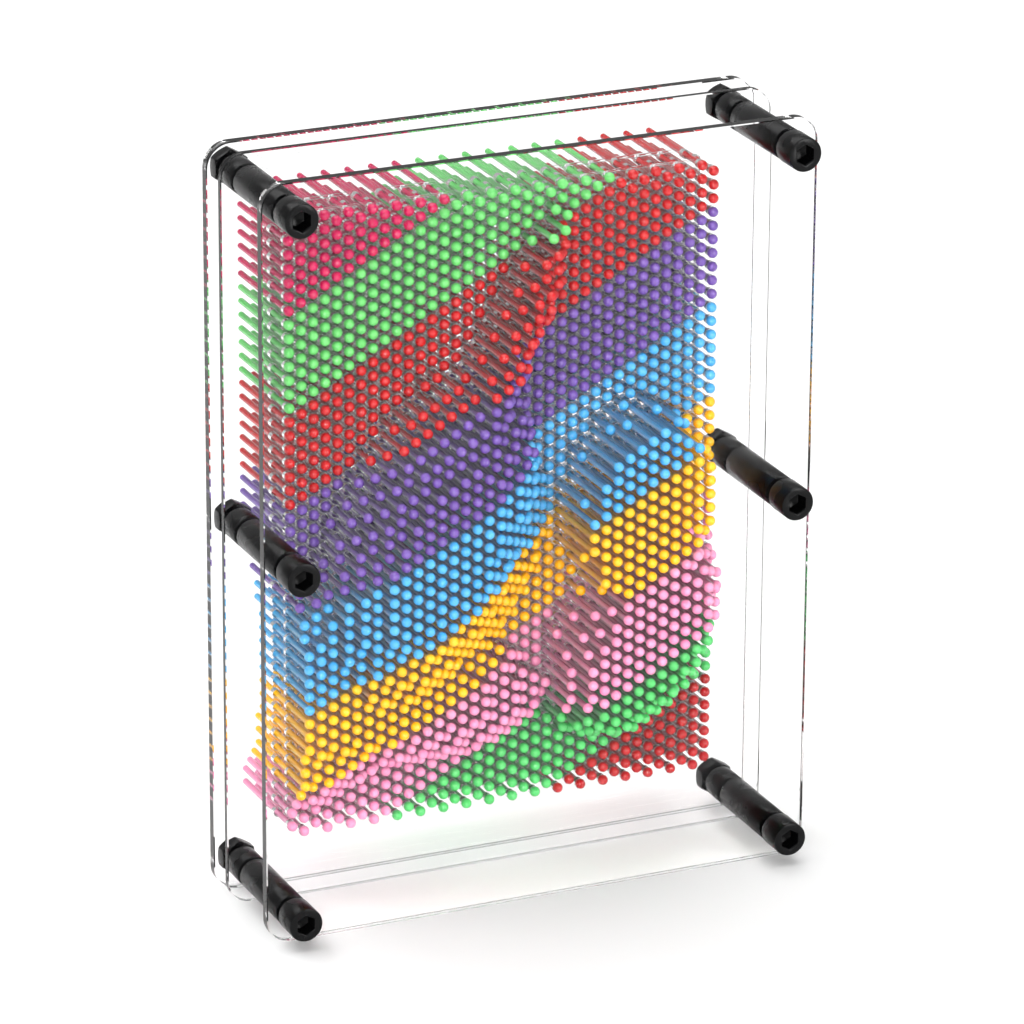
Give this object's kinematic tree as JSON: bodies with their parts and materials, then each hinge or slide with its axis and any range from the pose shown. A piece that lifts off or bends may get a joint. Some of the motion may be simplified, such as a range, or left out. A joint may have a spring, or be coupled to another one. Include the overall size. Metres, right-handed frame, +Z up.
{
  "type": "pin art impression toy",
  "caption": "Upright clear frame of three plates on six posts. Ball-headed sliding pins in diagonal colour stripes copy the shape that is pressed into them from behind.",
  "frame": {"origin": "on the ground below the middle of the bounding box", "axes": "+Z up, +Y from the cover side to the side that is pressed, +X to the right seen from the cover side"},
  "size_m": [0.152, 0.0672, 0.203],
  "materials": {
    "clear_acrylic": "polished",
    "black_plastic": "satin",
    "plastic_magenta": "gloss",
    "plastic_upper_green": "gloss",
    "plastic_upper_red": "gloss",
    "plastic_purple": "gloss",
    "plastic_blue": "gloss",
    "plastic_yellow": "gloss",
    "plastic_pink": "gloss",
    "plastic_lower_green": "gloss",
    "plastic_lower_red": "gloss"
  },
  "bodies": {
    "frame": {"cap_screws": "black_plastic", "front_cover": "clear_acrylic", "front_guide_plate": "clear_acrylic", "hex_nuts": "black_plastic", "long_spacers": "black_plastic", "rear_guide_plate": "clear_acrylic", "short_spacers": "black_plastic"},
    "pins_blue_push_0_body": {"pins_blue_push_0": "plastic_blue"},
    "pins_blue_push_1_body": {"pins_blue_push_1": "plastic_blue"},
    "pins_blue_push_2_body": {"pins_blue_push_2": "plastic_blue"},
    "pins_blue_push_3_body": {"pins_blue_push_3": "plastic_blue"},
    "pins_blue_push_4_body": {"pins_blue_push_4": "plastic_blue"},
    "pins_blue_push_5_body": {"pins_blue_push_5": "plastic_blue"},
    "pins_blue_push_6_body": {"pins_blue_push_6": "plastic_blue"},
    "pins_blue_push_7_body": {"pins_blue_push_7": "plastic_blue"},
    "pins_lower_green_push_0_body": {"pins_lower_green_push_0": "plastic_lower_green"},
    "pins_lower_green_push_1_body": {"pins_lower_green_push_1": "plastic_lower_green"},
    "pins_lower_green_push_2_body": {"pins_lower_green_push_2": "plastic_lower_green"},
    "pins_lower_green_push_3_body": {"pins_lower_green_push_3": "plastic_lower_green"},
    "pins_lower_green_push_4_body": {"pins_lower_green_push_4": "plastic_lower_green"},
    "pins_lower_green_push_5_body": {"pins_lower_green_push_5": "plastic_lower_green"},
    "pins_lower_green_push_6_body": {"pins_lower_green_push_6": "plastic_lower_green"},
    "pins_lower_green_push_7_body": {"pins_lower_green_push_7": "plastic_lower_green"},
    "pins_lower_red_push_0_body": {"pins_lower_red_push_0": "plastic_lower_red"},
    "pins_magenta_push_0_body": {"pins_magenta_push_0": "plastic_magenta"},
    "pins_pink_push_0_body": {"pins_pink_push_0": "plastic_pink"},
    "pins_pink_push_1_body": {"pins_pink_push_1": "plastic_pink"},
    "pins_pink_push_2_body": {"pins_pink_push_2": "plastic_pink"},
    "pins_pink_push_3_body": {"pins_pink_push_3": "plastic_pink"},
    "pins_pink_push_4_body": {"pins_pink_push_4": "plastic_pink"},
    "pins_pink_push_5_body": {"pins_pink_push_5": "plastic_pink"},
    "pins_pink_push_6_body": {"pins_pink_push_6": "plastic_pink"},
    "pins_pink_push_7_body": {"pins_pink_push_7": "plastic_pink"},
    "pins_purple_push_0_body": {"pins_purple_push_0": "plastic_purple"},
    "pins_purple_push_1_body": {"pins_purple_push_1": "plastic_purple"},
    "pins_purple_push_2_body": {"pins_purple_push_2": "plastic_purple"},
    "pins_purple_push_3_body": {"pins_purple_push_3": "plastic_purple"},
    "pins_purple_push_4_body": {"pins_purple_push_4": "plastic_purple"},
    "pins_purple_push_5_body": {"pins_purple_push_5": "plastic_purple"},
    "pins_purple_push_6_body": {"pins_purple_push_6": "plastic_purple"},
    "pins_purple_push_7_body": {"pins_purple_push_7": "plastic_purple"},
    "pins_upper_green_push_0_body": {"pins_upper_green_push_0": "plastic_upper_green"},
    "pins_upper_green_push_1_body": {"pins_upper_green_push_1": "plastic_upper_green"},
    "pins_upper_green_push_3_body": {"pins_upper_green_push_3": "plastic_upper_green"},
    "pins_upper_red_push_0_body": {"pins_upper_red_push_0": "plastic_upper_red"},
    "pins_upper_red_push_1_body": {"pins_upper_red_push_1": "plastic_upper_red"},
    "pins_upper_red_push_2_body": {"pins_upper_red_push_2": "plastic_upper_red"},
    "pins_upper_red_push_3_body": {"pins_upper_red_push_3": "plastic_upper_red"},
    "pins_upper_red_push_4_body": {"pins_upper_red_push_4": "plastic_upper_red"},
    "pins_upper_red_push_5_body": {"pins_upper_red_push_5": "plastic_upper_red"},
    "pins_upper_red_push_6_body": {"pins_upper_red_push_6": "plastic_upper_red"},
    "pins_yellow_push_0_body": {"pins_yellow_push_0": "plastic_yellow"},
    "pins_yellow_push_1_body": {"pins_yellow_push_1": "plastic_yellow"},
    "pins_yellow_push_2_body": {"pins_yellow_push_2": "plastic_yellow"},
    "pins_yellow_push_3_body": {"pins_yellow_push_3": "plastic_yellow"},
    "pins_yellow_push_4_body": {"pins_yellow_push_4": "plastic_yellow"},
    "pins_yellow_push_5_body": {"pins_yellow_push_5": "plastic_yellow"},
    "pins_yellow_push_6_body": {"pins_yellow_push_6": "plastic_yellow"},
    "pins_yellow_push_7_body": {"pins_yellow_push_7": "plastic_yellow"}
  },
  "joints": [
    {"name": "pins_blue_push_0_slide", "type": "slide", "parent": "frame", "child": "pins_blue_push_0_body", "axis": [0, -1, 0], "range_m": [0, 0.02148]},
    {"name": "pins_blue_push_1_slide", "type": "slide", "parent": "frame", "child": "pins_blue_push_1_body", "axis": [0, -1, 0], "range_m": [-0.00307, 0.01841]},
    {"name": "pins_blue_push_2_slide", "type": "slide", "parent": "frame", "child": "pins_blue_push_2_body", "axis": [0, -1, 0], "range_m": [-0.00614, 0.01534]},
    {"name": "pins_blue_push_3_slide", "type": "slide", "parent": "frame", "child": "pins_blue_push_3_body", "axis": [0, -1, 0], "range_m": [-0.0092, 0.01227]},
    {"name": "pins_blue_push_4_slide", "type": "slide", "parent": "frame", "child": "pins_blue_push_4_body", "axis": [0, -1, 0], "range_m": [-0.01227, 0.0092]},
    {"name": "pins_blue_push_5_slide", "type": "slide", "parent": "frame", "child": "pins_blue_push_5_body", "axis": [0, -1, 0], "range_m": [-0.01534, 0.00614]},
    {"name": "pins_blue_push_6_slide", "type": "slide", "parent": "frame", "child": "pins_blue_push_6_body", "axis": [0, -1, 0], "range_m": [-0.01841, 0.00307]},
    {"name": "pins_blue_push_7_slide", "type": "slide", "parent": "frame", "child": "pins_blue_push_7_body", "axis": [0, -1, 0], "range_m": [-0.02148, 0]},
    {"name": "pins_lower_green_push_0_slide", "type": "slide", "parent": "frame", "child": "pins_lower_green_push_0_body", "axis": [0, -1, 0], "range_m": [0, 0.02148]},
    {"name": "pins_lower_green_push_1_slide", "type": "slide", "parent": "frame", "child": "pins_lower_green_push_1_body", "axis": [0, -1, 0], "range_m": [-0.00307, 0.01841]},
    {"name": "pins_lower_green_push_2_slide", "type": "slide", "parent": "frame", "child": "pins_lower_green_push_2_body", "axis": [0, -1, 0], "range_m": [-0.00614, 0.01534]},
    {"name": "pins_lower_green_push_3_slide", "type": "slide", "parent": "frame", "child": "pins_lower_green_push_3_body", "axis": [0, -1, 0], "range_m": [-0.0092, 0.01227]},
    {"name": "pins_lower_green_push_4_slide", "type": "slide", "parent": "frame", "child": "pins_lower_green_push_4_body", "axis": [0, -1, 0], "range_m": [-0.01227, 0.0092]},
    {"name": "pins_lower_green_push_5_slide", "type": "slide", "parent": "frame", "child": "pins_lower_green_push_5_body", "axis": [0, -1, 0], "range_m": [-0.01534, 0.00614]},
    {"name": "pins_lower_green_push_6_slide", "type": "slide", "parent": "frame", "child": "pins_lower_green_push_6_body", "axis": [0, -1, 0], "range_m": [-0.01841, 0.00307]},
    {"name": "pins_lower_green_push_7_slide", "type": "slide", "parent": "frame", "child": "pins_lower_green_push_7_body", "axis": [0, -1, 0], "range_m": [-0.02148, 0]},
    {"name": "pins_lower_red_push_0_slide", "type": "slide", "parent": "frame", "child": "pins_lower_red_push_0_body", "axis": [0, -1, 0], "range_m": [0, 0.02148]},
    {"name": "pins_magenta_push_0_slide", "type": "slide", "parent": "frame", "child": "pins_magenta_push_0_body", "axis": [0, -1, 0], "range_m": [0, 0.02148]},
    {"name": "pins_pink_push_0_slide", "type": "slide", "parent": "frame", "child": "pins_pink_push_0_body", "axis": [0, -1, 0], "range_m": [0, 0.02148]},
    {"name": "pins_pink_push_1_slide", "type": "slide", "parent": "frame", "child": "pins_pink_push_1_body", "axis": [0, -1, 0], "range_m": [-0.00307, 0.01841]},
    {"name": "pins_pink_push_2_slide", "type": "slide", "parent": "frame", "child": "pins_pink_push_2_body", "axis": [0, -1, 0], "range_m": [-0.00614, 0.01534]},
    {"name": "pins_pink_push_3_slide", "type": "slide", "parent": "frame", "child": "pins_pink_push_3_body", "axis": [0, -1, 0], "range_m": [-0.0092, 0.01227]},
    {"name": "pins_pink_push_4_slide", "type": "slide", "parent": "frame", "child": "pins_pink_push_4_body", "axis": [0, -1, 0], "range_m": [-0.01227, 0.0092]},
    {"name": "pins_pink_push_5_slide", "type": "slide", "parent": "frame", "child": "pins_pink_push_5_body", "axis": [0, -1, 0], "range_m": [-0.01534, 0.00614]},
    {"name": "pins_pink_push_6_slide", "type": "slide", "parent": "frame", "child": "pins_pink_push_6_body", "axis": [0, -1, 0], "range_m": [-0.01841, 0.00307]},
    {"name": "pins_pink_push_7_slide", "type": "slide", "parent": "frame", "child": "pins_pink_push_7_body", "axis": [0, -1, 0], "range_m": [-0.02148, 0]},
    {"name": "pins_purple_push_0_slide", "type": "slide", "parent": "frame", "child": "pins_purple_push_0_body", "axis": [0, -1, 0], "range_m": [0, 0.02148]},
    {"name": "pins_purple_push_1_slide", "type": "slide", "parent": "frame", "child": "pins_purple_push_1_body", "axis": [0, -1, 0], "range_m": [-0.00307, 0.01841]},
    {"name": "pins_purple_push_2_slide", "type": "slide", "parent": "frame", "child": "pins_purple_push_2_body", "axis": [0, -1, 0], "range_m": [-0.00614, 0.01534]},
    {"name": "pins_purple_push_3_slide", "type": "slide", "parent": "frame", "child": "pins_purple_push_3_body", "axis": [0, -1, 0], "range_m": [-0.0092, 0.01227]},
    {"name": "pins_purple_push_4_slide", "type": "slide", "parent": "frame", "child": "pins_purple_push_4_body", "axis": [0, -1, 0], "range_m": [-0.01227, 0.0092]},
    {"name": "pins_purple_push_5_slide", "type": "slide", "parent": "frame", "child": "pins_purple_push_5_body", "axis": [0, -1, 0], "range_m": [-0.01534, 0.00614]},
    {"name": "pins_purple_push_6_slide", "type": "slide", "parent": "frame", "child": "pins_purple_push_6_body", "axis": [0, -1, 0], "range_m": [-0.01841, 0.00307]},
    {"name": "pins_purple_push_7_slide", "type": "slide", "parent": "frame", "child": "pins_purple_push_7_body", "axis": [0, -1, 0], "range_m": [-0.02148, 0]},
    {"name": "pins_upper_green_push_0_slide", "type": "slide", "parent": "frame", "child": "pins_upper_green_push_0_body", "axis": [0, -1, 0], "range_m": [0, 0.02148]},
    {"name": "pins_upper_green_push_1_slide", "type": "slide", "parent": "frame", "child": "pins_upper_green_push_1_body", "axis": [0, -1, 0], "range_m": [-0.00307, 0.01841]},
    {"name": "pins_upper_green_push_3_slide", "type": "slide", "parent": "frame", "child": "pins_upper_green_push_3_body", "axis": [0, -1, 0], "range_m": [-0.0092, 0.01227]},
    {"name": "pins_upper_red_push_0_slide", "type": "slide", "parent": "frame", "child": "pins_upper_red_push_0_body", "axis": [0, -1, 0], "range_m": [0, 0.02148]},
    {"name": "pins_upper_red_push_1_slide", "type": "slide", "parent": "frame", "child": "pins_upper_red_push_1_body", "axis": [0, -1, 0], "range_m": [-0.00307, 0.01841]},
    {"name": "pins_upper_red_push_2_slide", "type": "slide", "parent": "frame", "child": "pins_upper_red_push_2_body", "axis": [0, -1, 0], "range_m": [-0.00614, 0.01534]},
    {"name": "pins_upper_red_push_3_slide", "type": "slide", "parent": "frame", "child": "pins_upper_red_push_3_body", "axis": [0, -1, 0], "range_m": [-0.0092, 0.01227]},
    {"name": "pins_upper_red_push_4_slide", "type": "slide", "parent": "frame", "child": "pins_upper_red_push_4_body", "axis": [0, -1, 0], "range_m": [-0.01227, 0.0092]},
    {"name": "pins_upper_red_push_5_slide", "type": "slide", "parent": "frame", "child": "pins_upper_red_push_5_body", "axis": [0, -1, 0], "range_m": [-0.01534, 0.00614]},
    {"name": "pins_upper_red_push_6_slide", "type": "slide", "parent": "frame", "child": "pins_upper_red_push_6_body", "axis": [0, -1, 0], "range_m": [-0.01841, 0.00307]},
    {"name": "pins_yellow_push_0_slide", "type": "slide", "parent": "frame", "child": "pins_yellow_push_0_body", "axis": [0, -1, 0], "range_m": [0, 0.02148]},
    {"name": "pins_yellow_push_1_slide", "type": "slide", "parent": "frame", "child": "pins_yellow_push_1_body", "axis": [0, -1, 0], "range_m": [-0.00307, 0.01841]},
    {"name": "pins_yellow_push_2_slide", "type": "slide", "parent": "frame", "child": "pins_yellow_push_2_body", "axis": [0, -1, 0], "range_m": [-0.00614, 0.01534]},
    {"name": "pins_yellow_push_3_slide", "type": "slide", "parent": "frame", "child": "pins_yellow_push_3_body", "axis": [0, -1, 0], "range_m": [-0.0092, 0.01227]},
    {"name": "pins_yellow_push_4_slide", "type": "slide", "parent": "frame", "child": "pins_yellow_push_4_body", "axis": [0, -1, 0], "range_m": [-0.01227, 0.0092]},
    {"name": "pins_yellow_push_5_slide", "type": "slide", "parent": "frame", "child": "pins_yellow_push_5_body", "axis": [0, -1, 0], "range_m": [-0.01534, 0.00614]},
    {"name": "pins_yellow_push_6_slide", "type": "slide", "parent": "frame", "child": "pins_yellow_push_6_body", "axis": [0, -1, 0], "range_m": [-0.01841, 0.00307]},
    {"name": "pins_yellow_push_7_slide", "type": "slide", "parent": "frame", "child": "pins_yellow_push_7_body", "axis": [0, -1, 0], "range_m": [-0.02148, 0]}
  ]
}
